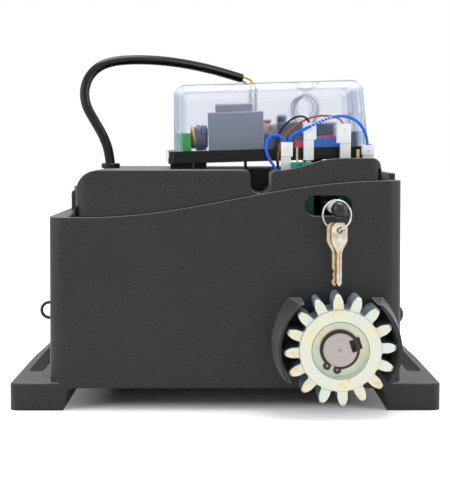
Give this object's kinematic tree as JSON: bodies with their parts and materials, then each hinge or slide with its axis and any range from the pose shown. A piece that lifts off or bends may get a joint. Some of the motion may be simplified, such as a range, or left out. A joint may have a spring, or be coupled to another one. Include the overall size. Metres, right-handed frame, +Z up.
{
  "type": "sliding gate motor",
  "caption": "Floor-mounted worm gearmotor for a sliding gate, with a toothed drive pinion, a release rod with keys and a control box under a clear hood.",
  "frame": {"origin": "on the ground under the middle of the whole motor, feet, pinion and release rod included", "axes": "+X to the right seen from the pinion side, +Y away from the pinion side, +Z up"},
  "size_m": [0.288, 0.228, 0.2432],
  "materials": {
    "black_moulding": "fine grained",
    "black_gloss": "smooth",
    "black_rubber": "satin",
    "zinc_steel": "yellow zinc plated",
    "turned_steel": "turned",
    "dark_steel": "phosphated",
    "bronze": "machined",
    "bearing_steel": "ground",
    "teal_paint": "satin",
    "teal_plastic": "smooth",
    "cast_aluminium": "as cast",
    "core_steel": "stacked sheet",
    "copper_wire": "enamelled",
    "zinc_rod": "bright zinc plated",
    "nickel": "worn nickel",
    "clear_plastic": "clear",
    "board_green": "solder mask",
    "grey_block": "smooth",
    "green_plastic": "smooth",
    "navy_plastic": "smooth",
    "beige_plastic": "smooth",
    "blue_plastic": "smooth",
    "red_plastic": "smooth",
    "white_plastic": "translucent",
    "brass": "stamped",
    "cable_black": "satin sheath",
    "yellow_pvc": "smooth sheath",
    "grey_pvc": "smooth sheath",
    "brown_pvc": "smooth sheath",
    "blue_pvc": "smooth sheath"
  },
  "bodies": {
    "housing": {"base_housing": "black_moulding", "side_plug": "black_gloss", "deck_housing": "black_moulding", "gearbox_casing": "teal_paint", "front_bearing": "bearing_steel", "shaft_seal": "black_rubber", "rear_bearing": "bearing_steel", "gearbox_caps": "teal_paint", "worm_bearings": "bearing_steel", "motor_shell": "cast_aluminium", "motor_end_shield": "cast_aluminium", "motor_bearing": "bearing_steel", "stator_core": "core_steel", "stator_windings": "copper_wire", "tray_base": "black_gloss", "tray_frame": "black_gloss", "circuit_board": "board_green", "clear_cover": "clear_plastic", "transformer": "grey_block", "green_terminal": "green_plastic", "choke": "copper_wire", "relays": "navy_plastic", "film_capacitor": "beige_plastic", "electrolytic": "navy_plastic", "screw_terminals": "blue_plastic", "terminal_caps": "red_plastic", "aerial_post": "brass", "box_supports": "black_moulding", "switch_block": "black_gloss", "limit_block": "teal_plastic", "spade_housing_1": "white_plastic", "spade_housing_2": "white_plastic", "spade_housing_3": "white_plastic", "spade_housing_4": "white_plastic", "brass_tabs": "brass", "wire_bush": "black_rubber", "cable_grommet": "black_rubber", "run_capacitor": "black_gloss", "capacitor_clip": "teal_plastic", "mains_cable": "cable_black", "earth_wire": "yellow_pvc", "core_wire": "grey_pvc", "black_wire": "cable_black", "brown_wire": "brown_pvc", "blue_wire_short": "blue_pvc", "blue_wire_long": "blue_pvc", "aerial_wire": "grey_pvc"},
    "output": {"output_shaft": "turned_steel", "drive_pinion": "zinc_steel", "shaft_key": "dark_steel", "retaining_ring": "dark_steel", "worm_wheel": "bronze"},
    "rotor": {"worm_shaft": "turned_steel", "rotor_core": "core_steel"},
    "release": {"release_rod": "zinc_rod", "rod_cap": "black_gloss", "release_shoe": "turned_steel"},
    "ring": {"key_ring": "nickel"},
    "front_key": {"front_key": "nickel"},
    "rear_key": {"rear_key": "nickel"}
  },
  "joints": [
    {"name": "output_spin", "type": "hinge", "parent": "housing", "child": "output", "pos_m": [0.0736, -0.016, 0.0455], "axis": [0, -1, 0], "continuous": true},
    {"name": "rotor_spin", "type": "hinge", "parent": "housing", "child": "rotor", "pos_m": [0, -0.016, 0.077], "axis": [1, 0, 0], "continuous": true},
    {"name": "release_travel", "type": "slide", "parent": "housing", "child": "release", "axis": [1, 0, 0], "range_m": [-0.0065, 0]},
    {"name": "key_ring_swing", "type": "hinge", "parent": "release", "child": "ring", "pos_m": [0.072, -0.091, 0.1358], "axis": [0, 1, 0], "range_deg": [-45, 45]},
    {"name": "front_key_swing", "type": "hinge", "parent": "ring", "child": "front_key", "pos_m": [0.07347, -0.09166, 0.12154], "axis": [0.3256, -0.9455, 0], "range_deg": [-40, 40]},
    {"name": "rear_key_swing", "type": "hinge", "parent": "ring", "child": "rear_key", "pos_m": [0.07053, -0.09034, 0.12154], "axis": [0.3256, -0.9455, 0], "range_deg": [-40, 40]}
  ],
  "couplings": [
    {"joint": "rotor_spin", "follows": "output_spin", "ratio": 30}
  ]
}
